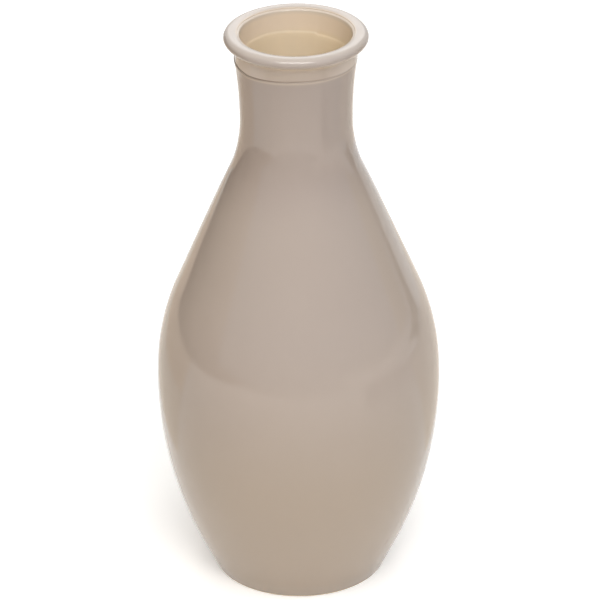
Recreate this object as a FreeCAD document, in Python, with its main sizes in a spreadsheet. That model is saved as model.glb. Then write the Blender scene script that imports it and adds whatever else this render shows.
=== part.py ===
import FreeCAD, Part
import math
import os
import Sketcher

# A small bottle vase: one mould-blown glass bottle with a sprayed colour coat on its outside.
# Millimetres. The origin is on the table under the middle of the vase, and +Z is up.

# Lengths that can be set by themselves. A radius is measured at the outside of the coat
# unless its note says otherwise.
LENGTHS = {
    "overall_height": (145.0, "table to the top of the lip"),
    "foot_radius": (21.3, "where the line of the lower wall would meet the table"),
    "heel_radius": (0.5, "round between the lower wall and the resting ring"),
    "resting_ring_width": (3.5, "foot radius to the inner edge of the flat ring"),
    "push_up_height": (1.8, "hollow under the middle of the base"),
    "belly_radius": (35.0, "the widest place"),
    "belly_height": (52.4, "table to the widest place"),
    "throat_radius": (13.7, "the narrowest place of the neck"),
    "throat_below_top": (22.9, "top of the lip to the narrowest place"),
    "neck_flare": (1.2, "how much the neck widens from the throat to the parting line"),
    "ring_height": (6.45, "top of the lip to the parting line under the collar"),
    "parting_step": (0.1, "ledge where the ring mould met the body mould"),
    "bead_overhang": (2.65, "how far the bead of the lip stands out past the collar"),
    "bead_height": (2.95, "underside of the bead to the top of the lip"),
    "bead_root_round": (0.6, "hollow round between the collar and the bead"),
    "lip_land_radius": (4.5, "gentle fall of the lip towards the mouth"),
    "mouth_edge_round": (0.4, "round between the lip and the bore"),
    "collar_wall": (1.05, "collar radius less the radius of the mouth"),
    "bore_depth": (5.2, "top of the lip to the ridge where the pressed bore ends"),
    "bore_taper": (1.0, "how much the pressed bore narrows on its way down"),
    "ridge_step": (0.45, "how far the ridge stands in past the bore"),
    "ridge_drop": (0.5, "height of the ridge's slope"),
    "wall_thickness": (2.2, "glass of the side wall, measured level"),
    "floor_thickness": (5.0, "table to the floor inside"),
    "floor_corner_radius": (7.0, "round between the floor and the wall inside"),
    "coat_thickness": (0.12, "sprayed colour coat, measured level"),
}

# Shares of the lengths above, chosen to follow the outline of the vase.
SHARES = {
    "cone_share": (0.14, "straight foot of the lower wall, of the belly height"),
    "shoulder_curve_share": (0.35, "belly curve, of the rise from belly to throat"),
    "neck_curve_share": (0.193, "neck curve, of the rise from belly to throat"),
    "bead_crest_share": (0.6, "radius of the bead's top and underside, of the bead height"),
    "bead_nose_share": (0.355, "radius of the bead's edge, of the bead height"),
}

SHEET_NAME = "Sizes"
# The sketcher counts the places on an edge up from one, and its two axes down from minus one.
START, END, CENTRE = range(1, 4)
LEVEL_AXIS, UPRIGHT_AXIS = range(-1, -3, -1)
ORIGIN_POINT = (LEVEL_AXIS, START)
RIGHT_ANGLE, STRAIGHT_ANGLE = math.pi / 2, math.pi
WHOLE_TURN_DEGREES = 360


class Size:
    """A length of the vase: its number, and the expression that works it out from the sheet."""

    def __init__(self, number, text):
        self.number = number
        self.text = text

    def __add__(self, other):
        return Size(self.number + other.number, f"({self.text} + {other.text})")

    def __sub__(self, other):
        return Size(self.number - other.number, f"({self.text} - {other.text})")

    def __mul__(self, other):
        return Size(self.number * other.number, f"{self.text} * {other.text}")

    def half(self):
        return Size(self.number / 2, f"{self.text} / 2")


TABLE = Size(0, "0")
SURFACE = Size(0, "0")


class Sheet:
    """The spreadsheet, and each of its cells as a Size under the cell's own name."""

    def __init__(self, document):
        self.cells = document.addObject("Spreadsheet::Sheet", SHEET_NAME)
        rows = {**LENGTHS, **SHARES}
        for row, (name, (number, note)) in enumerate(rows.items(), start=1):
            self.cells.set(f"A{row}", name)
            self.cells.set(f"B{row}", str(number))
            self.cells.setAlias(f"B{row}", name)
            self.cells.set(f"C{row}", note)
            setattr(self, name, Size(number, f"{SHEET_NAME}.{name}"))
        document.recompute()


class Section:
    """A half section of one body in its XZ plane, where a point is (radius, height)."""

    def __init__(self, body, name):
        plane = next(f for f in body.Origin.OriginFeatures if f.Role == "XZ_Plane")
        self.sketch = body.newObject("Sketcher::SketchObject", name)
        self.sketch.AttachmentSupport = (plane, [""])
        self.sketch.MapMode = "FlatFace"
        self.rules = []
        self.texts = {}

    def line(self, start, end):
        """A straight edge."""
        edge = Part.LineSegment(FreeCAD.Vector(*start), FreeCAD.Vector(*end))
        return self.sketch.addGeometry(edge, False)

    def arc(self, centre, radius, first, last):
        """A round edge, anticlockwise from the first angle to the last."""
        circle = Part.Circle(FreeCAD.Vector(*centre), FreeCAD.Vector(0, 0, 1), radius)
        return self.sketch.addGeometry(Part.ArcOfCircle(circle, first, last), False)

    def link(self, first, first_end, last, last_end):
        """A straight edge between the ends of two edges."""
        points = [self.sketch.getPoint(first, first_end), self.sketch.getPoint(last, last_end)]
        edge = self.line(*((point.x, point.y) for point in points))
        self.rule("Coincident", edge, START, first, first_end)
        self.rule("Coincident", edge, END, last, last_end)

    def guide(self, radius, height):
        """A construction point that an edge runs towards."""
        point = self.sketch.addGeometry(Part.Point(FreeCAD.Vector(radius.number, height.number)), True)
        self.hold(point, START, radius, height)
        return point

    def rule(self, kind, *places):
        """A constraint without a value, such as Horizontal, Coincident or Tangent."""
        self.rules.append(Sketcher.Constraint(kind, *places))

    def bind(self, kind, *places, size):
        """A constraint whose value follows the sheet."""
        self.texts[len(self.rules)] = size.text
        self.rules.append(Sketcher.Constraint(kind, *places, size.number))

    def hold(self, edge, end, radius=None, height=None):
        """Hold a point at a radius, a height or both."""
        if radius:
            self.bind("DistanceX", *ORIGIN_POINT, edge, end, size=radius)
        if height:
            self.bind("DistanceY", *ORIGIN_POINT, edge, end, size=height)

    def round_to(self, edge, radius):
        """Give an arc its radius."""
        self.bind("Radius", edge, size=radius)

    def upright_at(self, edge, end):
        """An arc that runs straight up at one end has its centre level with that end."""
        self.rule("Horizontal", edge, end, edge, CENTRE)

    def settle(self):
        """Give the sketch all its constraints at once, and tie their values to the sheet."""
        self.sketch.addConstraint(self.rules)
        for index, text in self.texts.items():
            self.sketch.setExpression(f"Constraints[{index}]", text)


def throat_height(s):
    return s.overall_height - s.throat_below_top


def parting_height(s):
    return s.overall_height - s.ring_height


def parting_radius(s):
    """The neck's radius just below the parting line."""
    return s.throat_radius + s.neck_flare


def collar_radius(s):
    return parting_radius(s) - s.parting_step


def mouth_radius(s):
    """The radius at which the line of the bore would meet the level of the lip's top."""
    return collar_radius(s) - s.collar_wall


def lip_edge_radius(s):
    """Where the coat ends on the lip, just outside the round edge of the mouth."""
    return mouth_radius(s) + s.mouth_edge_round


def arc_through(out, rise):
    """The radius of an arc that starts upright and moves sideways by out over a rise."""
    return (out * out + rise * rise) / (2 * out)


def lower_wall(section, s, depth):
    """The straight foot of the wall and the lower belly arc, moved inwards by depth.

    The line runs towards the foot radius at the table, and the arc is upright at the belly.
    """
    foot, belly = s.foot_radius - depth, s.belly_radius - depth
    cone_top = s.belly_height * s.cone_share
    rise = s.belly_height.number - cone_top.number
    lean = math.atan2(belly.number - foot.number, cone_top.number + rise / 2)
    arc_radius = rise / math.sin(lean)
    joint = (belly.number - arc_radius * (1 - math.cos(lean)), cone_top.number)
    start = (foot.number + s.heel_radius.number * math.tan(lean), s.heel_radius.number)
    cone = section.line(start, joint)
    centre = (belly.number - arc_radius, s.belly_height.number)
    arc = section.arc(centre, arc_radius, -lean, 0)
    corner = section.guide(foot, TABLE)
    section.rule("PointOnObject", corner, START, cone)
    section.hold(cone, END, height=cone_top)
    section.rule("Tangent", cone, END, arc, START)
    section.hold(arc, END, belly, s.belly_height)
    section.upright_at(arc, END)
    return cone, arc


def upper_wall(section, s, depth, below):
    """The upper belly arc, the straight shoulder and the neck arc, moved inwards by depth.

    The edge below ends at the belly. The neck arc is upright at the throat.
    """
    belly, throat = s.belly_radius - depth, s.throat_radius - depth
    climb = throat_height(s) - s.belly_height
    shoulder_bottom = s.belly_height + climb * s.shoulder_curve_share
    shoulder_top = throat_height(s) - climb * s.neck_curve_share
    belly_rise = shoulder_bottom.number - s.belly_height.number
    neck_rise = throat_height(s).number - shoulder_top.number
    straight = climb.number - (belly_rise + neck_rise) / 2
    lean = math.atan2(belly.number - throat.number, straight)
    belly_arc_radius = belly_rise / math.sin(lean)
    neck_arc_radius = neck_rise / math.sin(lean)
    belly_centre = (belly.number - belly_arc_radius, s.belly_height.number)
    neck_centre = (throat.number + neck_arc_radius, throat_height(s).number)
    bottom_radius = belly.number - belly_arc_radius * (1 - math.cos(lean))
    top_radius = throat.number + neck_arc_radius * (1 - math.cos(lean))
    belly_arc = section.arc(belly_centre, belly_arc_radius, 0, lean)
    shoulder = section.line((bottom_radius, shoulder_bottom.number), (top_radius, shoulder_top.number))
    neck_arc = section.arc(neck_centre, neck_arc_radius, STRAIGHT_ANGLE, STRAIGHT_ANGLE + lean)
    section.rule("Coincident", below, END, belly_arc, START)
    section.upright_at(belly_arc, START)
    section.hold(belly_arc, END, height=shoulder_bottom)
    section.rule("Tangent", belly_arc, END, shoulder, START)
    section.rule("Tangent", shoulder, END, neck_arc, END)
    section.hold(shoulder, END, height=shoulder_top)
    section.hold(neck_arc, START, throat, throat_height(s))
    section.upright_at(neck_arc, START)
    return neck_arc


def flare(section, s, depth, below, radius, height):
    """The arc that leaves the throat upright and widens to a radius at a height."""
    throat = s.throat_radius - depth
    rise = height.number - throat_height(s).number
    arc_radius = arc_through(radius.number - throat.number, rise)
    centre = (throat.number + arc_radius, throat_height(s).number)
    arc = section.arc(centre, arc_radius, STRAIGHT_ANGLE - math.asin(rise / arc_radius), STRAIGHT_ANGLE)
    section.rule("Coincident", below, START, arc, END)
    section.upright_at(arc, END)
    section.hold(arc, START, radius, height)
    return arc


def rim(section, s, depth, below):
    """The ledge at the parting line, the collar and the bead, moved inwards by depth.

    The bead's underside and top are arcs that meet its nose, and the lip's land falls gently
    from the crest towards the mouth. The land's inner end is left free.
    """
    top, line_height = s.overall_height, parting_height(s)
    collar = collar_radius(s)
    wall = collar - depth
    underside = top - s.bead_height
    crest_radius = s.bead_height * s.bead_crest_share
    nose_radius = s.bead_height * s.bead_nose_share
    nose_centre = (collar + s.bead_overhang - nose_radius, top - s.bead_height.half())
    reach = crest_radius.number - nose_radius.number
    lift = crest_radius.number - s.bead_height.half().number
    turn = math.asin(lift / reach)
    crest_middle = nose_centre[0].number - reach * math.cos(turn)
    root_middle = collar.number + s.bead_root_round.number
    root_height = underside.number - s.bead_root_round.number
    face = underside + depth
    under_centre = (crest_middle, underside.number + crest_radius.number)
    crest_centre = (crest_middle, top.number - crest_radius.number)
    land_centre = (crest_middle, top.number - s.lip_land_radius.number)
    land_radius = s.lip_land_radius - depth
    land_width = crest_middle - lip_edge_radius(s).number
    land_end = RIGHT_ANGLE + math.asin(land_width / s.lip_land_radius.number)

    ledge_start = (parting_radius(s) - depth).number
    ledge = section.line((ledge_start, line_height.number), (wall.number, line_height.number))
    side = section.line((wall.number, line_height.number), (wall.number, root_height))
    root_round = s.bead_root_round + depth
    root = section.arc((root_middle, root_height), root_round.number, RIGHT_ANGLE, STRAIGHT_ANGLE)
    shelf = section.line((root_middle, face.number), (crest_middle, face.number))
    under = section.arc(under_centre, (crest_radius - depth).number, -RIGHT_ANGLE, -turn)
    nose_point = (nose_centre[0].number, nose_centre[1].number)
    nose = section.arc(nose_point, (nose_radius - depth).number, -turn, turn)
    crest = section.arc(crest_centre, (crest_radius - depth).number, turn, RIGHT_ANGLE)
    land = section.arc(land_centre, land_radius.number, RIGHT_ANGLE, land_end)

    section.rule("Coincident", below, START, ledge, START)
    section.rule("Horizontal", ledge)
    section.hold(ledge, END, radius=wall)
    section.rule("Coincident", ledge, END, side, START)
    section.rule("Vertical", side)
    section.rule("Tangent", side, END, root, END)
    section.round_to(root, root_round)
    section.rule("Tangent", root, START, shelf, START)
    section.rule("Horizontal", shelf)
    section.hold(shelf, END, height=face)
    section.rule("Tangent", shelf, END, under, START)
    section.round_to(under, crest_radius - depth)
    section.rule("Tangent", under, END, nose, START)
    section.hold(nose, CENTRE, *nose_centre)
    section.round_to(nose, nose_radius - depth)
    section.rule("Tangent", nose, END, crest, START)
    section.round_to(crest, crest_radius - depth)
    section.hold(crest, CENTRE, height=top - crest_radius)
    section.rule("Vertical", crest, END, crest, CENTRE)
    section.rule("Tangent", crest, END, land, START)
    section.round_to(land, land_radius)
    return land


def outside(section, s, depth):
    """The outside of the vase from its foot to the lip, moved inwards by depth."""
    cone, arc = lower_wall(section, s, depth)
    neck_arc = upper_wall(section, s, depth, arc)
    neck = flare(section, s, depth, neck_arc, parting_radius(s) - depth, parting_height(s))
    return cone, rim(section, s, depth, neck)


def revolve(body, section, name):
    """Turn a half section once round the upright axis."""
    section.settle()
    turned = body.newObject("PartDesign::Revolution", name)
    turned.Profile = section.sketch
    turned.ReferenceAxis = (section.sketch, ["V_Axis"])
    turned.Angle = WHOLE_TURN_DEGREES


def make_colour_coat(document, s):
    """The sprayed coat: a thin shell from just above the resting ring to the edge of the mouth."""
    body = document.addObject("PartDesign::Body", "ColourCoat")
    body.Label = "colour_coat"
    section = Section(body, "CoatSection")
    cone, land = outside(section, s, SURFACE)
    inner_cone, inner_land = outside(section, s, s.coat_thickness)
    for edge in (cone, inner_cone):
        section.hold(edge, START, height=s.heel_radius)
    for edge in (land, inner_land):
        section.hold(edge, END, radius=lip_edge_radius(s))
    section.link(cone, START, inner_cone, START)
    section.link(land, END, inner_land, END)
    revolve(body, section, "CoatShell")
    return body


def base(section, s, cone):
    """The heel round, the flat resting ring and the push-up under the base."""
    inner_ring = s.foot_radius - s.resting_ring_width
    heel_start = section.sketch.getPoint(cone, START)
    heel_radius = s.heel_radius.number
    heel_middle = heel_start.x - heel_radius
    span, height = inner_ring.number, s.push_up_height.number
    dome_radius = arc_through(height, span)
    heel = section.arc((heel_middle, heel_radius), heel_radius, -RIGHT_ANGLE, 0)
    ring = section.line((heel_middle, 0), (span, 0))
    dome_start = math.acos(span / dome_radius)
    dome = section.arc((0, height - dome_radius), dome_radius, dome_start, RIGHT_ANGLE)
    section.rule("Tangent", heel, END, cone, START)
    section.round_to(heel, s.heel_radius)
    section.rule("Tangent", heel, START, ring, START)
    section.rule("Horizontal", ring)
    section.rule("PointOnObject", ring, START, LEVEL_AXIS)
    section.hold(ring, END, radius=inner_ring)
    section.rule("Coincident", ring, END, dome, START)
    section.rule("PointOnObject", dome, CENTRE, UPRIGHT_AXIS)
    section.rule("PointOnObject", dome, END, UPRIGHT_AXIS)
    section.hold(dome, END, height=s.push_up_height)
    return dome


def inside_floor(section, s, depth):
    """The floor inside, its corner round and the lower belly arc of the inside wall.

    The arc runs towards the point on the floor that is a wall inside the foot, so the glass
    thickens towards the base.
    """
    corner_radius = s.floor_corner_radius.number
    floor = s.floor_thickness.number
    belly = s.belly_radius - depth
    foot = s.foot_radius - depth
    rise = s.belly_height.number - floor
    arc_radius = arc_through(belly.number - foot.number, rise)
    arc_middle = belly.number - arc_radius
    reach, drop = arc_radius - corner_radius, rise - corner_radius
    lean = math.asin(drop / reach)
    corner_middle = arc_middle + reach * math.cos(lean)
    level = section.line((0, floor), (corner_middle, floor))
    corner = section.arc((corner_middle, floor + corner_radius), corner_radius, -RIGHT_ANGLE, -lean)
    arc = section.arc((arc_middle, s.belly_height.number), arc_radius, -lean, 0)
    foot_point = section.guide(foot, s.floor_thickness)
    section.rule("PointOnObject", level, START, UPRIGHT_AXIS)
    section.hold(level, START, height=s.floor_thickness)
    section.rule("Horizontal", level)
    section.rule("Tangent", level, END, corner, START)
    section.round_to(corner, s.floor_corner_radius)
    section.rule("Tangent", corner, END, arc, START)
    section.hold(arc, END, belly, s.belly_height)
    section.upright_at(arc, END)
    section.rule("PointOnObject", foot_point, START, arc)
    return level, arc


def bore(section, s, land, inner_neck_radius, ridge_foot):
    """The round edge of the mouth, the pressed bore and the ridge where it ends."""
    top = s.overall_height
    mouth = mouth_radius(s)
    ridge_radius = mouth - s.bore_taper
    ridge_height = top - s.bore_depth
    edge_round = s.mouth_edge_round.number
    land_end = section.sketch.getPoint(land, END)
    taper = math.atan2(s.bore_taper.number, s.bore_depth.number)
    edge_middle = (land_end.x, land_end.y - edge_round)
    edge = section.arc(edge_middle, edge_round, RIGHT_ANGLE, STRAIGHT_ANGLE - taper)
    edge_foot = section.sketch.getPoint(edge, END)
    ridge = (ridge_radius.number, ridge_height.number)
    wall = section.line((edge_foot.x, edge_foot.y), ridge)
    slope = section.line(ridge, (inner_neck_radius.number, ridge_foot.number))
    mouth_point = section.guide(mouth, top)
    section.rule("Tangent", land, END, edge, START)
    section.round_to(edge, s.mouth_edge_round)
    section.rule("Tangent", edge, END, wall, START)
    section.rule("PointOnObject", mouth_point, START, wall)
    section.hold(wall, END, ridge_radius, ridge_height)
    section.rule("Coincident", wall, END, slope, START)
    return slope


def make_glass_body(document, s):
    """The bottle itself: side wall, thick base with a push-up, collar, bead and pressed bore."""
    body = document.addObject("PartDesign::Body", "GlassBody")
    body.Label = "glass_body"
    section = Section(body, "GlassSection")
    cone, land = outside(section, s, s.coat_thickness)
    dome = base(section, s, cone)

    inside = s.coat_thickness + s.wall_thickness
    level, inner_arc = inside_floor(section, s, inside)
    inner_neck = upper_wall(section, s, inside, inner_arc)
    ridge_foot_radius = mouth_radius(s) - s.bore_taper - s.ridge_step
    ridge_foot_height = s.overall_height - s.bore_depth - s.ridge_drop
    slope = bore(section, s, land, ridge_foot_radius, ridge_foot_height)
    inner_flare = flare(section, s, inside, inner_neck, ridge_foot_radius, ridge_foot_height)
    section.rule("Coincident", slope, END, inner_flare, START)

    section.link(dome, END, level, START)
    revolve(body, section, "GlassWall")
    return body


def check(document, bodies):
    """Stop unless every object is sound, every sketch is fully held and every body is one solid."""
    for item in document.Objects:
        if "Invalid" in item.State or "Error" in item.State:
            raise RuntimeError(f"{item.Label} failed: {item.State}")
        if item.isDerivedFrom("Sketcher::SketchObject") and not item.FullyConstrained:
            raise RuntimeError(f"{item.Label} has edges that nothing holds")
    for body in bodies:
        shape = body.Shape
        if shape.isNull() or not shape.isValid() or len(shape.Solids) != 1:
            raise RuntimeError(f"{body.Label} is not one valid solid")


def report(s, bodies):
    """Print what each piece measures."""
    for body in bodies:
        box = body.Shape.optimalBoundingBox(False)
        print(f"{body.Label}: volume {body.Shape.Volume:.1f} mm3, "
              f"radius {box.XMax:.3f} mm, height {box.ZMin:.3f} to {box.ZMax:.3f} mm")


def main():
    document = FreeCAD.newDocument("BottleVase")
    s = Sheet(document)
    bodies = [make_glass_body(document, s), make_colour_coat(document, s)]
    document.recompute()
    check(document, bodies)
    report(s, bodies)
    os.makedirs("parts", exist_ok=True)
    for body in bodies:
        body.Shape.exportStep(os.path.join("parts", f"{body.Label}.step"))


main()
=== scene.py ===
"""Bottle vase: a blown and pressed glass bottle, with taupe lacquer sprayed and baked outside.

The vase's lengths are millimetres, as in the part's source, until its meshes are written in
metres. The studio, its lamps and the camera's distance are in metres.
"""
import math

import bpy
import numpy as np
from mathutils import Matrix, Vector


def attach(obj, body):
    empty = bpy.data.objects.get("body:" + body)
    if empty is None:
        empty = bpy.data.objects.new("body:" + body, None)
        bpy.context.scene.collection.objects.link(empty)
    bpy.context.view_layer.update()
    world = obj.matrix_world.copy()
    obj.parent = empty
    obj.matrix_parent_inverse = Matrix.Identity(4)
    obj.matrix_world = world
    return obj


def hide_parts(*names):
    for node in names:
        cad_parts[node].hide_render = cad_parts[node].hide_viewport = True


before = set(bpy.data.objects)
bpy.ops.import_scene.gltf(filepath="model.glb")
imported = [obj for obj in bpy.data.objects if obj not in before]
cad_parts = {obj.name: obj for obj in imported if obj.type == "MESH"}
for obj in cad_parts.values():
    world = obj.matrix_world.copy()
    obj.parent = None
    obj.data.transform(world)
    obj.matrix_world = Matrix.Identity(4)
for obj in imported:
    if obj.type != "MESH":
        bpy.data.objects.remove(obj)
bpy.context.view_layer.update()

MM = 0.001

# The vase, as in the part's source. A radius is measured at the outside of the coat.
OVERALL_HEIGHT = 145.0
FOOT_RADIUS = 21.3
HEEL_RADIUS = 0.5
RESTING_RING_WIDTH = 3.5
PUSH_UP_HEIGHT = 1.8
BELLY_RADIUS = 35.0
BELLY_HEIGHT = 52.4
THROAT_RADIUS = 13.7
THROAT_HEIGHT = OVERALL_HEIGHT - 22.9
NECK_FLARE = 1.2
PARTING_HEIGHT = OVERALL_HEIGHT - 6.45
PARTING_STEP = 0.1
BEAD_OVERHANG = 2.65
BEAD_HEIGHT = 2.95
BEAD_ROOT_ROUND = 0.6
LIP_LAND_RADIUS = 4.5
MOUTH_EDGE_ROUND = 0.4
COLLAR_WALL = 1.05
BORE_DEPTH = 5.2
BORE_TAPER = 1.0
RIDGE_STEP = 0.18
RIDGE_DROP = 0.5
WALL_THICKNESS = 2.2
FLOOR_THICKNESS = 5.0
FLOOR_CORNER_RADIUS = 7.0
COAT_THICKNESS = 0.12
CONE_SHARE = 0.14
SHOULDER_CURVE_SHARE = 0.35
NECK_CURVE_SHARE = 0.193
BEAD_CREST_SHARE = 0.6
BEAD_NOSE_SHARE = 0.355

PARTING_RADIUS = THROAT_RADIUS + NECK_FLARE
COLLAR_RADIUS = PARTING_RADIUS - PARTING_STEP
MOUTH_RADIUS = COLLAR_RADIUS - COLLAR_WALL
LIP_EDGE_RADIUS = MOUTH_RADIUS + MOUTH_EDGE_ROUND
RIDGE_RADIUS = MOUTH_RADIUS - BORE_TAPER
RIDGE_HEIGHT = OVERALL_HEIGHT - BORE_DEPTH

# What the mould and the fire left on the glass, which the plain solid leaves out. Directions are
# degrees anticlockwise from the right, seen from above.
RING_SHIFT = 0.1              # the ring mould sat this far to the right of the body mould
SEAM_GROOVE = 0.08            # the parting line, where the two moulds left a small open gap
SEAM_WIDTH = 0.28             # which is this high
SEAM_RINGS = (0, 0.25, 0.5, 0.75, 1.0, 1.3)  # the mesh's rings over the groove, in its widths
GROOVE_MIDDLE = 0.4           # where the groove is deepest, in its widths above the seam
GROOVE_REACH = 0.6            # and how far from there it runs out
GROOVE_RIGHT = 0.15           # the share of its depth that it keeps on the right
SEAM_DROP = 0.35              # how far the parting line lies below its plain height
SEAM_SAG = 0.75               # and how much further it sags on the left of the front
SEAM_SAG_DEGREES = -141.0     # in this direction
SEAM_SAG_SPREAD = 50.0        # degrees to each side over which the sag fades
SEAM_SAG_REACH = 3.4          # how far above and below the seam the sag fades to nothing
OUTSIDE_MARGIN = 0.3          # what is this much wider than the mouth belongs to the outside
RIDGE_SINK = 0.3              # how far the ridge in the bore lies below its plain height
RIDGE_SLIP = 0.5              # and how much further it drops to the right of its kink
SLIP_KINK = (69.0, 64.0)      # the directions between which it drops
SLIP_END = (-120.0, -20.0)    # and those from none to all of the drop, left to right of the front
RIDGE_WAVES = ((0.12, 3, 40.0), (0.05, 7, 0.0))  # height, turns round the mouth, start in degrees
LIP_HOLD = 1.2                # the bore keeps its place this far below the lip
RIDGE_HOLD = (0.2, 1.0)       # the ridge moves as one piece from this far above to this far below
RIDGE_FADE = 8.0              # and the move has faded out this far below
FULLNESS = 0.18               # how much fuller the shoulder blew out than its plain straight line
FULLNESS_IN = (56.0, 76.0)    # the heights between which it comes in
FULLNESS_OUT = (110.0, 98.0)  # and those between which it goes, from the top down
WAVE_DEPTH = 0.05             # how far the blown wall waves inwards
WAVE_LENGTHS = (17.0, 24.0, 38.0)
WAVE_COUNT = 24               # of all lengths together
WAVE_SEED = 7                 # gives their directions and starts, the same ones at each run
WAVE_FADE = 6.0               # on the glass they come in over this height above the heel
RING_FADE = 6.0               # inside, the ring mould's shift comes in this far above the throat

# How the spray lies on the glass, and where light and shade are painted into it: shares of the
# whole change of tone, and where they are found.
THIN_AND_LIT_UNDER_BEAD = (-1.2, 0.3)  # below the bead's underside, where the paint turns thin and painted light lifts the shade
COLLAR_FADE = (0.4, 1.4)    # and where on the collar that lighter tone starts to fade
COLLAR_FADE_SHARE = 0.75             # the share of that lighter tone that fades away on the collar
SEAM_EDGE_PAINTED_HIGHLIGHT = 0.35               # how strong a painted highlight is along the edge below the seam, in the thin paint's colour
SEAM_EDGE_HIGHLIGHT_WIDTH = 0.5
LIP_EDGE = 0.6                 # and along its own edge on the lip
LIP_EDGE_WIDTH = 0.5
LIP_EDGE_RISE = 2.0            # above the bead's underside, so that only the lip has it
FLANK_PAINTED_LIGHT = 0.5               # how strongly light is painted on the two flanks of the collar
FLANK_SIDES = (0.45, 0.8)      # a flank begins and is full this share of the radius to the side
FLANK_HEIGHTS = (-0.8, 0.2)    # and this far below the bead's underside

# Between which heights the tone changes: painted light low on the belly and at the heel, painted
# shade on the neck, the bead's own tone, and then that of the glass, in the bore and at its mouth.
LOW_PAINTED_LIGHT = (70.0, 30.0)
HEEL_PAINTED_LIGHT = (5.0, 0.0)
NECK_PAINTED_SHADE = (98.0, 116.0)
CREST_TONE = (142.8, 145.2)
BORE_TONE = (138.6, 140.6)
MOUTH_TONE = (143.0, 144.5)

# How wide the blotches of each pattern are, and how deep the two uneven skins.
PAINT_CLOUD = 45.0
PAINT_HAZE = 9.0
ORANGE_PEEL = 1.6             # real orange peel is about 1.5 mm across
ORANGE_PEEL_DEPTH = 0.004     # and a few thousandths of a millimetre deep
GLASS_CLOUD = 14.0
GLASS_RIPPLE = 4.0
GLASS_RIPPLE_DEPTH = 0.02

# How fine the meshes are. Each run of points also says itself how many it gets, as its last value.
TURN_STEPS = 192              # points round the axis
OUTSIDE_FINENESS = 1.5        # more rings where the eye sees the profile
BACK_FINENESS = 0.55          # fewer where paint and glass lie against each other
INSIDE_FINENESS = 0.6         # and on the inside, which is hardly seen
SUPPORT = 0.04                # how close a supporting ring lies to a sharp turn
SAME_POINT = 1e-5             # points closer than this are one
AXIS_GAP = 0.5                # the last ring round the axis, which one point in its middle closes
STEEPEST_LEAN = 1.4           # radians, more than any straight part of the wall leans
HALVINGS = 60                 # enough to find a lean to the last digit

# The studio, in metres from the vase unless a line says otherwise.
TABLE_REACH = 4.0
TABLE_GLOW = 0.38             # what the eye and the gloss see the table shine by
WALL_DISTANCE = 2.2
WALL_STEPS = 25
WALL_FOOT = 700.0             # millimetres, over which a wall's foot colour gives way to its own
LAMP_AIM = (0, 0, 0.07)
ROOM_LIGHT = 0.14             # how strongly the room's air lights the vase
ROOM_SHOWN = 1.0              # and how strongly the gloss shows it

# The camera, fitted to the photo's outline and mouth.
CAMERA_AIM = (0.50, 0, 72.37)
CAMERA_DISTANCE = 1.16        # metres
CAMERA_DOWN = 27.50           # degrees below the level
CAMERA_ROLL = -0.52           # degrees
CAMERA_LENS = 282.57
CAMERA_SENSOR = 36.0


def ramp(value, start, end):
    """0 up to a start and 1 from an end on, and straight between; the end may be the lower one."""
    return np.clip((value - start) / (end - start), 0, 1)


def eased(share):
    """A share with its two ends rounded: three times its square less twice its cube."""
    return share * share * (3 - 2 * share)


def straight(start, end, count, held=False):
    """Points evenly along a line, with one more close to each end if it is held."""
    start, end = np.array(start, float), np.array(end, float)
    share = np.linspace(0, 1, count)
    if held:
        near = SUPPORT / np.linalg.norm(end - start)
        share = np.unique(np.concatenate([share, [near, 1 - near]]))
    return start + (end - start) * share[:, None]


def arc(centre, radius, first, last, count):
    """Points evenly round a centre: radius times the cosine and the sine of the angle."""
    angle = np.linspace(first, last, count)
    return np.array(centre) + radius * np.stack([np.cos(angle), np.sin(angle)], 1)


def joined(*runs):
    """One line of points from several runs, without those that repeat the one before."""
    points = np.concatenate(runs)
    far = np.hypot(*np.diff(points, axis=0).T) > SAME_POINT
    return points[np.concatenate([[True], far])]


def lean_of(drop, bends, rise):
    """The lean of a straight wall of a given rise that runs smoothly into arcs, bends high in all.

    An arc that starts upright moves sideways by its height times tan(lean / 2), and the straight
    part by its rise times tan(lean). The lean that makes up the drop is found by halving.
    """
    low, high = 0.0, STEEPEST_LEAN
    for _ in range(HALVINGS):
        lean = (low + high) / 2
        if bends * math.tan(lean / 2) + rise * math.tan(lean) < drop:
            low = lean
        else:
            high = lean
    return low


def lower_wall(depth, fine):
    """The straight foot and the lower belly arc, upright at the belly, moved inwards by depth."""
    cone_top = BELLY_HEIGHT * CONE_SHARE
    bend = BELLY_HEIGHT - cone_top
    lean = lean_of(BELLY_RADIUS - FOOT_RADIUS, bend, cone_top)
    radius = bend / math.sin(lean)
    foot = FOOT_RADIUS - depth
    start = (foot + HEEL_RADIUS * math.tan(lean), HEEL_RADIUS)
    middle = (foot + cone_top * math.tan(lean), cone_top)
    centre = (BELLY_RADIUS - depth - radius, BELLY_HEIGHT)
    belly = arc(centre, radius, -lean, 0, int(60 * fine))
    return joined(straight(start, middle, int(10 * fine)), belly)


def upper_wall(depth, fine):
    """The upper belly arc, the straight shoulder and the neck arc, upright at belly and throat."""
    climb = THROAT_HEIGHT - BELLY_HEIGHT
    bends = climb * SHOULDER_CURVE_SHARE, climb * NECK_CURVE_SHARE
    lean = lean_of(BELLY_RADIUS - THROAT_RADIUS, sum(bends), climb - sum(bends))
    radii = bends[0] / math.sin(lean), bends[1] / math.sin(lean)
    belly = arc((BELLY_RADIUS - depth - radii[0], BELLY_HEIGHT), radii[0], 0, lean, int(34 * fine))
    neck_centre = (THROAT_RADIUS - depth + radii[1], THROAT_HEIGHT)
    neck = arc(neck_centre, radii[1], math.pi + lean, math.pi, int(26 * fine))
    return joined(belly, straight(belly[-1], neck[0], int(40 * fine)), neck)


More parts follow.
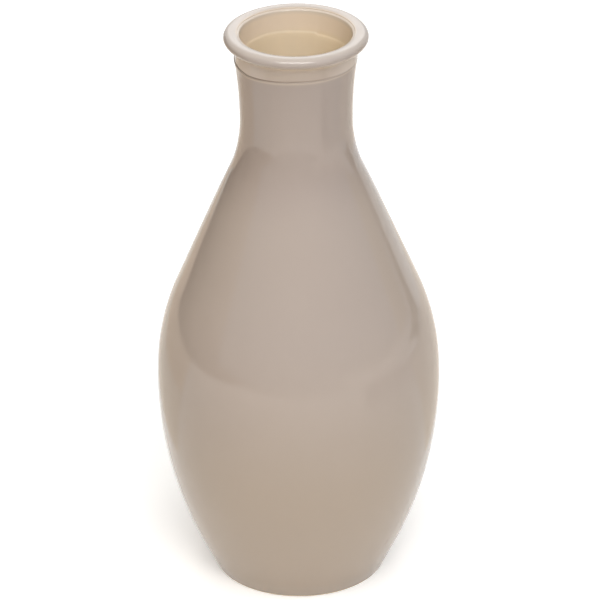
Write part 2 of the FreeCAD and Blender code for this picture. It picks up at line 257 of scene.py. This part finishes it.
def flare(depth, top, count):
    """From the throat, upright, out along one arc to a point at the top."""
    out, rise = top[0] - (THROAT_RADIUS - depth), top[1] - THROAT_HEIGHT
    radius = (out * out + rise * rise) / (2 * out)
    centre = (THROAT_RADIUS - depth + radius, THROAT_HEIGHT)
    return arc(centre, radius, math.pi, math.pi - math.asin(rise / radius), count)


def bead(depth, fine):
    """The bead's hollow root, underside, nose and crest, and the middle and radius of its land."""
    underneath = OVERALL_HEIGHT - BEAD_HEIGHT
    crest_radius, nose_radius = BEAD_HEIGHT * BEAD_CREST_SHARE, BEAD_HEIGHT * BEAD_NOSE_SHARE
    nose = (COLLAR_RADIUS + BEAD_OVERHANG - nose_radius, OVERALL_HEIGHT - BEAD_HEIGHT / 2)
    turn = math.asin((crest_radius - BEAD_HEIGHT / 2) / (crest_radius - nose_radius))
    middle = nose[0] - (crest_radius - nose_radius) * math.cos(turn)
    root = (COLLAR_RADIUS + BEAD_ROOT_ROUND, underneath - BEAD_ROOT_ROUND)
    below, above = (middle, underneath + crest_radius), (middle, OVERALL_HEIGHT - crest_radius)
    rim = joined(
        arc(root, BEAD_ROOT_ROUND + depth, math.pi, math.pi / 2, int(8 * fine)),
        arc(below, crest_radius - depth, -math.pi / 2, -turn, int(12 * fine)),
        arc(nose, nose_radius - depth, -turn, turn, int(10 * fine)),
        arc(above, crest_radius - depth, turn, math.pi / 2, int(14 * fine)),
    )
    return rim, (middle, OVERALL_HEIGHT - LIP_LAND_RADIUS), LIP_LAND_RADIUS - depth


def outside(depth, fine):
    """The outside from the foot to the lip's edge, moved inwards by depth, and its ring part.

    The second array is 1 on the points that the ring mould made, which are those past the seam.
    """
    body = joined(
        lower_wall(depth, fine),
        upper_wall(depth, fine),
        flare(depth, (PARTING_RADIUS - depth, PARTING_HEIGHT - SUPPORT), int(24 * fine)),
        [(PARTING_RADIUS - depth - SUPPORT / 3, PARTING_HEIGHT - SUPPORT / 3)],
    )
    rim, land_centre, land_radius = bead(depth, fine)
    collar_foot = (COLLAR_RADIUS - depth, PARTING_HEIGHT)
    seam_heights = PARTING_HEIGHT + SEAM_WIDTH * np.array(SEAM_RINGS)
    seam = np.stack([np.full(len(seam_heights), collar_foot[0]), seam_heights], 1)
    land_end = math.pi / 2 + math.asin((land_centre[0] - LIP_EDGE_RADIUS) / land_radius)
    ring = joined(
        seam,
        straight(seam[-1], (collar_foot[0], rim[0][1]), int(8 * fine)),
        rim,
        arc(land_centre, land_radius, math.pi / 2, land_end, int(10 * fine)),
    )
    pressed = np.concatenate([np.zeros(len(body)), np.ones(len(ring))])
    return np.concatenate([body, ring]), pressed


def bore():
    """The lip's land inside the coat's edge, the round mouth edge, the bore and the ridge's slope.

    The mouth edge is a circle that touches the land from inside and the line of the bore. Its
    centre is where the land's arc and the bore's line meet once each is moved into the glass by
    the circle's radius.
    """
    _, land_centre, land_radius = bead(COAT_THICKNESS, 1)
    ridge = np.array([RIDGE_RADIUS, RIDGE_HEIGHT])
    along = np.array([MOUTH_RADIUS, OVERALL_HEIGHT]) - ridge
    along /= np.linalg.norm(along)
    into = np.array([along[1], -along[0]])
    base = ridge + into * MOUTH_EDGE_ROUND - np.array(land_centre)
    reach = land_radius - MOUTH_EDGE_ROUND
    travel = -base @ along + math.sqrt((base @ along) ** 2 - base @ base + reach ** 2)
    centre = np.array(land_centre) + base + along * travel
    outward = centre - land_centre
    touch = math.atan2(outward[1], outward[0])
    land_start = math.pi / 2 + math.asin((land_centre[0] - LIP_EDGE_RADIUS) / land_radius)
    edge_end = math.atan2(-into[1], -into[0]) % (2 * math.pi)
    edge = arc(centre, MOUTH_EDGE_ROUND, touch, edge_end, 9)
    ridge_foot = (RIDGE_RADIUS - RIDGE_STEP, RIDGE_HEIGHT - RIDGE_DROP)
    return joined(
        arc(land_centre, land_radius, land_start, touch, 4),
        edge,
        straight(edge[-1], ridge, 12, held=True),
        straight(ridge, ridge_foot, 4, held=True),
    )


def inside_wall():
    """Down the inside from the ridge's foot: neck, shoulder, belly, round corner and floor."""
    depth = COAT_THICKNESS + WALL_THICKNESS
    ridge_foot = (RIDGE_RADIUS - RIDGE_STEP, RIDGE_HEIGHT - RIDGE_DROP)
    belly, foot = BELLY_RADIUS - depth, FOOT_RADIUS - depth
    rise = BELLY_HEIGHT - FLOOR_THICKNESS
    radius = ((belly - foot) ** 2 + rise ** 2) / (2 * (belly - foot))
    middle = belly - radius
    reach, drop = radius - FLOOR_CORNER_RADIUS, rise - FLOOR_CORNER_RADIUS
    lean = math.asin(drop / reach)
    corner = (middle + reach * math.cos(lean), FLOOR_THICKNESS + FLOOR_CORNER_RADIUS)
    return joined(
        flare(depth, ridge_foot, 16)[::-1],
        upper_wall(depth, INSIDE_FINENESS)[::-1],
        arc((middle, BELLY_HEIGHT), radius, 0, -lean, 30),
        arc(corner, FLOOR_CORNER_RADIUS, -lean, -math.pi / 2, 12),
        straight((corner[0], FLOOR_THICKNESS), (AXIS_GAP, FLOOR_THICKNESS), 12),
    )


def underside():
    """From near the axis under the base: the push-up's dome, the flat resting ring and the heel."""
    span = FOOT_RADIUS - RESTING_RING_WIDTH
    radius = (PUSH_UP_HEIGHT ** 2 + span ** 2) / (2 * PUSH_UP_HEIGHT)
    centre = (0, PUSH_UP_HEIGHT - radius)
    heel = lower_wall(COAT_THICKNESS, 1)[0]
    heel_centre = (heel[0] - HEEL_RADIUS, HEEL_RADIUS)
    return joined(
        arc(centre, radius, math.pi / 2 - AXIS_GAP / radius, math.acos(span / radius), 16),
        straight((span, 0), (heel_centre[0], 0), 6, held=True),
        arc(heel_centre, HEEL_RADIUS, -math.pi / 2, 0, 7),
    )


def waves(angle, height):
    """How far the blown wall waves inwards at each point, from 0 to 1.

    The sum of waves of three lengths that run round and up the wall in random directions, each
    the sine of its turns round the vase plus its rise, brought from its own range to 0 to 1.
    """
    draw = np.random.default_rng(WAVE_SEED)
    total = np.zeros_like(angle)
    for length in np.repeat(WAVE_LENGTHS, WAVE_COUNT // len(WAVE_LENGTHS)):
        heading, start = draw.uniform(0, 2 * math.pi, 2)
        turns = round(2 * math.pi * BELLY_RADIUS / length * math.cos(heading))
        climb = 2 * math.pi * height / length * math.sin(heading)
        total += length * np.sin(turns * angle + climb + start)
    return (total - total.min()) / (total.max() - total.min())


def shaped(points, ring, blown):
    """Turn a profile of (radius, height) round the axis, with what the mould and the fire left.

    ring is the share of each point that the ring mould made: it moves to the right by the ring's
    shift. blown is the share that the blown wall's waves push inwards. Just above the seam the wall
    sinks into the groove, deepest on the left, where the shifted ring uncovers the ledge. The seam
    itself sags: it is lowered all round, and further on the left of the front, fading up and down.
    Between belly and neck the shoulder swells by its fullness, rising from nothing and back to it.
    """
    angle = np.linspace(0, 2 * math.pi, TURN_STEPS, endpoint=False)[None, :]
    radius, height = points[:, :1], points[:, 1:]
    ring, blown = ring[:, None], blown[:, None]
    left = (1 - np.cos(angle)) / 2
    above = (height - PARTING_HEIGHT) / SEAM_WIDTH
    groove = ring * ramp(np.abs(above - GROOVE_MIDDLE), GROOVE_REACH, 0)
    groove = groove * (GROOVE_RIGHT + (1 - GROOVE_RIGHT) * left)
    full = ramp(height, *FULLNESS_IN) * ramp(height, *FULLNESS_OUT)
    turned = radius + FULLNESS * full * (2 - full) + 0 * angle
    wave = waves(angle + 0 * height, height + 0 * angle)
    painted = radius > COLLAR_RADIUS - COAT_THICKNESS / 2
    turned = turned - WAVE_DEPTH * blown * wave - SEAM_GROOVE * groove * painted
    aside = (np.degrees(angle) - SEAM_SAG_DEGREES + 180) % 360 - 180
    sag = SEAM_DROP + SEAM_SAG * ramp(np.abs(aside), SEAM_SAG_SPREAD, 0)
    reach = ramp(np.abs(height - PARTING_HEIGHT), SEAM_SAG_REACH, 0)
    height = height - sag * eased(reach * (radius > MOUTH_RADIUS + OUTSIDE_MARGIN))
    x = turned * np.cos(angle) + RING_SHIFT * ring
    y = turned * np.sin(angle)
    return np.stack([x, y, height + 0 * angle], -1), groove


def slipped(grid, bored):
    """Move the ridge in the bore up and down round the mouth, as the plunger left it uneven.

    bored is 1 on the points of the bore and the inside. The ridge sinks all round and wavers by a
    sum of sines. Right of the kink it lies lower by its slip, and it climbs back slowly on the way
    to the front. The move fades to nothing towards the lip and down the neck.
    """
    angle = np.degrees(np.arctan2(grid[..., 1], grid[..., 0]))
    low = eased(ramp(angle, *SLIP_KINK)) * eased(ramp(angle, *SLIP_END))
    uneven = np.zeros_like(angle)
    for high, turns, start in RIDGE_WAVES:
        uneven += high * np.sin(np.radians(turns * angle + start))
    height = grid[..., 2]
    up = ramp(height, OVERALL_HEIGHT - LIP_HOLD, RIDGE_HEIGHT + RIDGE_HOLD[0])
    down = ramp(height, RIDGE_HEIGHT - RIDGE_FADE, RIDGE_HEIGHT - RIDGE_HOLD[1])
    grid[..., 2] += (uneven - RIDGE_SINK - RIDGE_SLIP * low) * up * down * bored
    return grid


def revolved(name, grid, looped, marks):
    """A mesh from a grid of points, profile by angle, closed round the axis.

    Between neighbours on the profile and in angle lies one four-sided face. A looped profile also
    joins its last ring to its first. Otherwise each end closes on a point in its ring's middle.
    """
    rings, turns = grid.shape[:2]
    points = grid.reshape(-1, 3)
    index = np.arange(rings * turns).reshape(rings, turns)
    near, far = (index, np.roll(index, -1, 0)) if looped else (index[:-1], index[1:])
    quads = np.stack([near, np.roll(near, -1, 1), np.roll(far, -1, 1), far], -1).reshape(-1, 4)
    corners, sizes = [quads.ravel()], [np.full(len(quads), 4)]
    marks = {key: value.reshape(-1) for key, value in marks.items()}
    if not looped:
        ends = np.stack([grid[0].mean(0), grid[-1].mean(0)])
        first, last = index[0], index[-1]
        low, high = np.full(turns, len(points)), np.full(turns, len(points) + 1)
        corners.append(np.stack([low, np.roll(first, -1), first], -1).ravel())
        corners.append(np.stack([last, np.roll(last, -1), high], -1).ravel())
        sizes.append(np.full(2 * turns, 3))
        points = np.concatenate([points, ends])
        marks = {key: np.concatenate([value, [0, 0]]) for key, value in marks.items()}
    corners, sizes = np.concatenate(corners), np.concatenate(sizes)
    mesh = bpy.data.meshes.new(name)
    mesh.vertices.add(len(points))
    mesh.vertices.foreach_set("co", (points * MM).ravel())
    mesh.loops.add(len(corners))
    mesh.loops.foreach_set("vertex_index", corners)
    mesh.polygons.add(len(sizes))
    mesh.polygons.foreach_set("loop_start", np.concatenate([[0], np.cumsum(sizes)[:-1]]))
    mesh.polygons.foreach_set("use_smooth", np.ones(len(sizes), bool))
    for key, value in marks.items():
        mark = mesh.attributes.new(key, "FLOAT", "POINT")
        mark.data.foreach_set("value", value.astype(np.float32))
    mesh.update(calc_edges=True)
    piece = bpy.data.objects.new(name, mesh)
    bpy.context.collection.objects.link(piece)
    return piece


def make_coat():
    """The lacquer: a closed shell up its outside, over the lip and back down against the glass.

    It carries how much of the groove, painted as shade, of thin paint and painted light, and of
    painted light on a flank each point has. Under the bead the paint is thin and painted light
    lifts its shade, a narrow painted highlight runs below the seam, and the paint is thin along its
    own edge on the lip.
    """
    out, out_ring = outside(0, OUTSIDE_FINENESS)
    back, back_ring = outside(COAT_THICKNESS, BACK_FINENESS)
    tip = (out[-1] + back[-1]) / 2 + [[-COAT_THICKNESS / 3, 0]]
    points = np.concatenate([out, tip, back[::-1]])
    ring = np.concatenate([out_ring, [1], back_ring[::-1]])
    grid, groove = shaped(points, ring, 1 - ring)
    radius, height = points.T
    below = OVERALL_HEIGHT - BEAD_HEIGHT - height
    # Thin paint under the bead, lightened further as painted light against its shade.
    thin_paint_and_painted_light = ring * ramp(below, *THIN_AND_LIT_UNDER_BEAD) * (1 - COLLAR_FADE_SHARE * ramp(below, *COLLAR_FADE))
    from_edge = np.abs(height - PARTING_HEIGHT + SEAM_EDGE_HIGHLIGHT_WIDTH)
    # A painted highlight along the edge below the seam.
    thin_paint_and_painted_light += SEAM_EDGE_PAINTED_HIGHLIGHT * (1 - ring) * ramp(from_edge, SEAM_EDGE_HIGHLIGHT_WIDTH, 0)
    lip = ramp(radius, LIP_EDGE_RADIUS + LIP_EDGE_WIDTH, LIP_EDGE_RADIUS)
    thin_paint_and_painted_light += LIP_EDGE * (below < -LIP_EDGE_RISE) * lip
    # Painted light on the two flanks of the collar, below the bead.
    sideways = np.abs(grid[..., 0]) / np.hypot(grid[..., 0], grid[..., 1])
    flank_painted_light = ramp(sideways, *FLANK_SIDES) * (ring * ramp(below, *FLANK_HEIGHTS))[:, None]
    # The groove's share is also painted as shade in the seam.
    marks = {"seam": groove, "thin_paint_and_painted_light": thin_paint_and_painted_light[:, None] + 0 * groove, "flank_painted_light": FLANK_PAINTED_LIGHT * flank_painted_light}
    return revolved("lacquer_coat", grid, True, marks)


def make_glass():
    """The bottle: under the base, up beneath the coat, over the lip, down the bore to the floor."""
    out, out_ring = outside(COAT_THICKNESS, BACK_FINENESS)
    base, mouth, inner = underside(), bore(), inside_wall()
    points = np.concatenate([base, out[1:], mouth[1:], inner[1:]])
    inner_ring = ramp(inner[1:, 1], THROAT_HEIGHT + RING_FADE, RIDGE_HEIGHT - RIDGE_DROP)
    ring = np.concatenate([np.zeros(len(base)), out_ring[1:], np.ones(len(mouth) - 1), inner_ring])
    blown = ramp(points[:, 1], HEEL_RADIUS, HEEL_RADIUS + WAVE_FADE) * (1 - ring)
    grid, _ = shaped(points, ring, blown)
    inside = np.arange(len(points))[:, None] >= len(base) + len(out) - 1
    grid = slipped(grid, inside & (points[:, :1] < MOUTH_RADIUS))
    return revolved("glass_bottle", grid, False, {})


def paint(text):
    """An sRGB hex colour as linear red, green, blue and full alpha."""
    parts = np.array([int(text[i:i + 2], 16) for i in (1, 3, 5)]) / 255
    linear = np.where(parts <= 0.04045, parts / 12.92, ((parts + 0.055) / 1.055) ** 2.4)
    return (*linear.tolist(), 1.0)


def add(tree, kind, inputs=None, **settings):
    """Add a node. Settings are its own properties, and inputs fill or feed its sockets."""
    made = tree.nodes.new(kind)
    for name, value in settings.items():
        setattr(made, name, value)
    for name, value in (inputs or {}).items():
        socket = made.inputs[name]
        if isinstance(value, bpy.types.NodeSocket):
            tree.links.new(value, socket)
        else:
            socket.default_value = value
    return made


def new_material(name):
    """A material without nodes, and the tree that they go into."""
    made = bpy.data.materials.new(name)
    made.use_nodes = True
    made.node_tree.nodes.clear()
    return made, made.node_tree


def per_metre(length_mm):
    """The noise scale whose blotches are about a length in millimetres across."""
    return 1 / (length_mm * MM)


def layered(tree, ground, *layers):
    """A ground colour with others laid over it in turn, each as strongly as its share says."""
    colour = paint(ground)
    for share, tone in layers:
        laid = {0: share, 6: colour, 7: paint(tone)}
        colour = add(tree, "ShaderNodeMix", laid, data_type="RGBA").outputs[2]
    return colour


def height_share(tree, place, start, end):
    """From 0 at one height in millimetres to 1 at another, smoothly."""
    height = add(tree, "ShaderNodeSeparateXYZ", {0: place}).outputs["Z"]
    limits = {"Value": height, "From Min": start * MM, "From Max": end * MM}
    return add(tree, "ShaderNodeMapRange", limits, interpolation_type="SMOOTHSTEP").outputs[0]


def baked_lacquer():
    """Acrylic lacquer, sprayed on hot glass and baked.

    The eye gets an opaque warm taupe under a mirror gloss with a trace of orange peel, clouds of
    slightly thicker and thinner paint, painted light low on the belly and just above the heel,
    painted shade on the neck, a milky bead where the heat drew the paint thin, a warmer, lighter
    tone under the bead where spray hardly reaches, lifted further as painted light against its
    shade, a painted highlight along the edge below the seam, painted light on the two flanks of the
    collar, and painted shade in the seam's groove.
    """
    material, tree = new_material("taupe_baked_lacquer")
    place = add(tree, "ShaderNodeTexCoord").outputs["Object"]
    clouds = add(tree, "ShaderNodeTexNoise", {
        "Vector": place, "Scale": per_metre(PAINT_CLOUD), "Detail": 2.0})
    cloud_share = add(tree, "ShaderNodeMapRange", {
        "Value": clouds.outputs[0], "From Min": 0.3, "From Max": 0.7})
    thin_paint_and_painted_light, flank_painted_light, seam = (
        add(tree, "ShaderNodeAttribute", attribute_name=name).outputs["Fac"]
        for name in ("thin_paint_and_painted_light", "flank_painted_light", "seam"))
    colour = layered(
        tree, "#B0A196",
        (cloud_share.outputs[0], "#B3A59A"),
        # Painted light low on the belly and just above the heel, painted shade on the neck.
        (height_share(tree, place, *LOW_PAINTED_LIGHT), "#B2A190"),
        (height_share(tree, place, *HEEL_PAINTED_LIGHT), "#BAAA9B"),
        (height_share(tree, place, *NECK_PAINTED_SHADE), "#A99A90"),
        (height_share(tree, place, *CREST_TONE), "#BFB4AB"),
        # Thin paint and painted light under the bead, and a painted highlight below the seam.
        (thin_paint_and_painted_light, "#DEC9AF"),
        # Painted light on the collar's flanks.
        (flank_painted_light, "#E4D6CB"),
        # Painted shade in the seam's groove, darkest on the left.
        (seam, "#6E5C4D"),
    )
    peel = add(tree, "ShaderNodeTexNoise", {
        "Vector": place, "Scale": per_metre(ORANGE_PEEL), "Detail": 1.0})
    bump = add(tree, "ShaderNodeBump", {
        "Height": peel.outputs[0], "Strength": 1.0, "Distance": ORANGE_PEEL_DEPTH * MM})
    haze = add(tree, "ShaderNodeTexNoise", {
        "Vector": place, "Scale": per_metre(PAINT_HAZE), "Detail": 3.0})
    rough = add(tree, "ShaderNodeMapRange", {
        "Value": haze.outputs[0], "To Min": 0.08, "To Max": 0.12})
    shader = add(tree, "ShaderNodeBsdfPrincipled", {
        "Base Color": colour, "Roughness": rough.outputs[0], "IOR": 1.5,
        "Normal": bump.outputs[0]})
    add(tree, "ShaderNodeOutputMaterial", {"Surface": shader.outputs[0]})
    return material


def glass_over_lacquer():
    """Clear soda-lime glass, pressed at the mouth and blown below, with the paint on its far side.

    The eye looks through the glass at the back of the paint, a light cream, under a sharp gloss.
    """
    material, tree = new_material("clear_glass_over_cream_back")
    place = add(tree, "ShaderNodeTexCoord").outputs["Object"]
    clouds = add(tree, "ShaderNodeTexNoise", {
        "Vector": place, "Scale": per_metre(GLASS_CLOUD), "Detail": 2.0})
    colour = layered(
        tree, "#DCC9AB",
        (clouds.outputs[0], "#E2D0B5"),
        (height_share(tree, place, *BORE_TONE), "#E0CDB6"),
        (height_share(tree, place, *MOUTH_TONE), "#D0C2B3"),
    )
    ripple = add(tree, "ShaderNodeTexNoise", {
        "Vector": place, "Scale": per_metre(GLASS_RIPPLE), "Detail": 1.0})
    bump = add(tree, "ShaderNodeBump", {
        "Height": ripple.outputs[0], "Strength": 1.0, "Distance": GLASS_RIPPLE_DEPTH * MM})
    shader = add(tree, "ShaderNodeBsdfPrincipled", {
        "Base Color": colour, "Roughness": 0.12, "IOR": 1.52, "Normal": bump.outputs[0]})
    add(tree, "ShaderNodeOutputMaterial", {"Surface": shader.outputs[0]})
    return material


def seen_share(tree):
    """1 for what the eye, a gloss or clear glass sees, and 0 for the light that falls on things."""
    path = add(tree, "ShaderNodeLightPath")
    seen = path.outputs["Is Camera Ray"]
    for kind in ("Is Glossy Ray", "Is Transmission Ray"):
        either = {0: seen, 1: path.outputs[kind]}
        seen = add(tree, "ShaderNodeMath", either, operation="MAXIMUM").outputs[0]
    return seen


def matt_paint(name, colour, glow=0.0):
    """Flat paint on the studio's table and cards: even and without gloss.

    A glow lifts the table to white in the eye and in the gloss, and lights nothing.
    """
    material, tree = new_material(name)
    shader = add(tree, "ShaderNodeBsdfDiffuse", {"Color": paint(colour)})
    if glow:
        lift = add(tree, "ShaderNodeEmission", {"Color": paint("#FFFFFF"), "Strength": glow})
        lifted = add(tree, "ShaderNodeAddShader", {0: shader.outputs[0], 1: lift.outputs[0]})
        shader = add(tree, "ShaderNodeMixShader", {
            0: seen_share(tree), 1: shader.outputs[0], 2: lifted.outputs[0]})
    add(tree, "ShaderNodeOutputMaterial", {"Surface": shader.outputs[0]})
    return material


def lit_wall(name, colour, level, foot=None):
    """A far wall or a patch of ground that shines evenly in its own colour, for the gloss alone.

    Where a foot colour is given, it runs from that at the floor up to its own colour.
    """
    material, tree = new_material(name)
    shown = paint(colour)
    if foot:
        place = add(tree, "ShaderNodeTexCoord").outputs["Object"]
        shown = layered(tree, foot, (height_share(tree, place, 0, WALL_FOOT), colour))
    shader = add(tree, "ShaderNodeEmission", {"Color": shown, "Strength": level})
    add(tree, "ShaderNodeOutputMaterial", {"Surface": shader.outputs[0]})
    return material


def dress(piece, material, slot_name, *nodes):
    """Give a finished piece its material and tie it to the frame."""
    piece.data.materials.append(material)
    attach(piece, "root")
    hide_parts(*nodes)


def flat_card(name, corner, side, rise, material):
    """A four-cornered card: a corner, and the corner plus a side, plus a rise, or plus both."""
    corner, side, rise = (np.array(part, float) for part in (corner, side, rise))
    points = [corner, corner + side, corner + side + rise, corner + rise]
    mesh = bpy.data.meshes.new(name)
    mesh.from_pydata(points, [], [(0, 1, 2, 3)])
    mesh.materials.append(material)
    card = bpy.data.objects.new(name, mesh)
    bpy.context.collection.objects.link(card)
    return card


def curved_wall(name, first, last, height, material):
    """Part of an upright cylinder round the table: radius times cosine and sine, floor to top.

    It runs from a first to a last direction, in degrees anticlockwise from the right.
    """
    angle = np.radians(np.linspace(first, last, WALL_STEPS))
    low = np.stack([WALL_DISTANCE * np.cos(angle), WALL_DISTANCE * np.sin(angle), 0 * angle], 1)
    points = np.concatenate([low, low + [0, 0, height]])
    step = np.arange(len(angle) - 1)
    faces = np.stack([step, step + 1, step + 1 + len(angle), step + len(angle)], 1)
    mesh = bpy.data.meshes.new(name)
    mesh.from_pydata(points.tolist(), [], faces.tolist())
    mesh.materials.append(material)
    wall = bpy.data.objects.new(name, mesh)
    bpy.context.collection.objects.link(wall)
    return wall


def make_studio():
    """A pale table that runs far back, and a dim room before it and beside it, for the gloss alone.

    The grounds lie some tenths of a millimetre above the table, each on its own level, so that
    no two fight for one place. The card and the ground on the left also darken the light that
    falls on the vase. The others leave that light as it is.
    """
    pale = matt_paint("matt_white_table", "#F6F5F3", glow=TABLE_GLOW)
    dark = matt_paint("matt_dark_card", "#756C64")
    reach = TABLE_REACH
    flat_card("table", (-reach, -reach, 0), (2 * reach, 0, 0), (0, 2 * reach, 0), pale)
    cool = lit_wall("dim_cool_wall", "#5A90BC", 1.0, foot="#B8C8D4")
    grey = lit_wall("dim_grey_wall", "#B4B09E", 1.0)
    paler = lit_wall("paler_cool_ground", "#DCE2E6", 1.0)
    white = lit_wall("white_ground", "#FCFDFE", 1.0)
    warm = lit_wall("warm_ground", "#FFE9D2", 1.05)
    pale_warm = lit_wall("pale_warm_ground", "#FFF5E8", 1.15)
    stone = lit_wall("mid_grey_wall", "#A09A88", 1.0)
    bright = lit_wall("bright_strip", "#FFFFFF", 12.0)
    pale_sheet = lit_wall("bright_sheet", "#FFFFFF", 1.7)
    shade = (
        ("left_card", (-0.38, -0.163, 0), (0, 0.77, 0), (0, 0, 0.244), dark),
        ("left_ground", (-1.6, -0.60, 0.0004), (1.22, 0, 0), (0, 1.6, 0), dark),
    )
    shown = (
        ("front_edge_card", (-0.42, -0.41, 0), (0.27, 0, 0), (0, 0, 0.006), dark),
        ("right_edge_card", (0.30, -0.49, 0), (0, 0.75, 0), (0, 0, 0.004), dark),
        ("right_ground", (0.36, 0.272, 0.0005), (1.393, 1.056, 0), (0.09, -0.20, 0), stone),
        ("right_ground_end", (0.385, 0.285, 0.0007), (-0.075, -0.14, 0), (0.22, -0.01, 0), stone),
        ("near_strip", (0.150, -0.120, 0.0008), (0.17, -0.145, 0), (0.035, 0.045, 0), paler),
        ("near_ground", (0.185, -0.075, 0.0003), (0.17, -0.145, 0), (0.02, 0.17, 0), white),
        ("left_near_ground", (-0.38, 0.02, 0.0006), (0.23, 0, 0), (0, 0.38, 0), warm),
        ("left_hem_ground", (-0.15, 0.02, 0.0006), (0.08, 0, 0), (0, 0.25, 0), pale_warm),
        ("right_near_ground", (0.06, 0.03, 0.0006), (0.25, 0, 0), (0, 0.23, 0), pale_warm),
        ("front_fade", (-0.46, -0.76, 0.0006), (0.96, 0, 0), (0, 0.36, 0), paler),
        ("front_ground", (-2.2, -2.3, 0.0004), (2.7, 0, 0), (0, 1.81, 0), cool),
        ("front_strip", (-0.70, -1.143, 1.274), (1.3, 0, 0), (0, 0.230, 0.193), bright),
        ("back_sheet", (-0.8, 1.73, 0.99), (1.6, 0, 0), (0, -1.01, 0.94), pale_sheet),
    )
    walls = (
        ("front_wall", 190, 365, 3.0, cool),
        ("right_wall", 5, 27, 1.0, grey),
        ("right_wall_end", 27, 37, 1.0, stone),
    )
    shading = [flat_card(*row) for row in shade]
    shining = [flat_card(*row) for row in shown] + [curved_wall(*row) for row in walls]
    for hidden in shading + shining:
        hidden.visible_camera = False
        hidden.visible_shadow = False
    for hidden in shining:
        hidden.visible_diffuse = False


def soft_box(name, place, size, power, colour, in_gloss=True):
    """A rectangular lamp behind cloth, turned to the vase from its place, its power in watts."""
    lamp = bpy.data.lights.new(name, "AREA")
    lamp.shape = "RECTANGLE"
    lamp.size, lamp.size_y = size
    lamp.energy = power
    lamp.color = paint(colour)[:3]
    made = bpy.data.objects.new(name, lamp)
    bpy.context.collection.objects.link(made)
    made.visible_camera = False
    made.visible_glossy = in_gloss
    made.location = place
    ahead = Vector(LAMP_AIM) - Vector(place)
    made.rotation_euler = ahead.to_track_quat("-Z", "Y").to_euler()


def make_light():
    """Four soft boxes in a room whose air lights gently and shows white in the gloss.

    The three that would draw hard patches on the vase are kept out of the gloss.
    """
    white, warm = "#FFFFFF", "#FFE6B3"
    soft_box("overhead_box", (0.05, -0.37, 1.5), (1.0, 0.8), 12.0, white, in_gloss=False)
    soft_box("high_front_box", (0.25, -1.30, 1.20), (1.0, 0.8), 15.5, white, in_gloss=False)
    soft_box("back_box", (0.1, 1.45, 0.95), (1.2, 0.9), 4.5, white)
    soft_box("left_box", (-1.45, -0.45, 0.95), (0.8, 0.8), 3.2, warm, in_gloss=False)
    world = bpy.data.worlds.new("room")
    bpy.context.scene.world = world
    world.use_nodes = True
    tree = world.node_tree
    tree.nodes.clear()
    lights, shows = (
        add(tree, "ShaderNodeBackground", {"Color": paint(white), "Strength": level})
        for level in (ROOM_LIGHT, ROOM_SHOWN))
    mixed = add(tree, "ShaderNodeMixShader", {
        0: seen_share(tree), 1: lights.outputs[0], 2: shows.outputs[0]})
    add(tree, "ShaderNodeOutputWorld", {"Surface": mixed.outputs[0]})


def make_camera():
    """The photograph's eye: a long lens that looks down on the vase, rolled a touch."""
    down = math.radians(CAMERA_DOWN)
    ahead = Vector((0, math.cos(down), -math.sin(down)))
    lens = bpy.data.cameras.new("camera")
    lens.sensor_width = CAMERA_SENSOR
    lens.lens = CAMERA_LENS
    lens.dof.use_dof = False
    camera = bpy.data.objects.new("camera", lens)
    bpy.context.collection.objects.link(camera)
    roll = Matrix.Rotation(math.radians(CAMERA_ROLL), 3, "Z")
    turned = ahead.to_track_quat("-Z", "Y").to_matrix() @ roll
    camera.rotation_euler = turned.to_euler()
    camera.location = Vector(CAMERA_AIM) * MM - ahead * CAMERA_DISTANCE
    bpy.context.scene.camera = camera


dress(make_coat(), baked_lacquer(), "colour_coat", "colour_coat")
dress(make_glass(), glass_over_lacquer(), "glass", "glass_body")
make_studio()
make_light()
make_camera()
bpy.context.scene.view_settings.view_transform = "Standard"
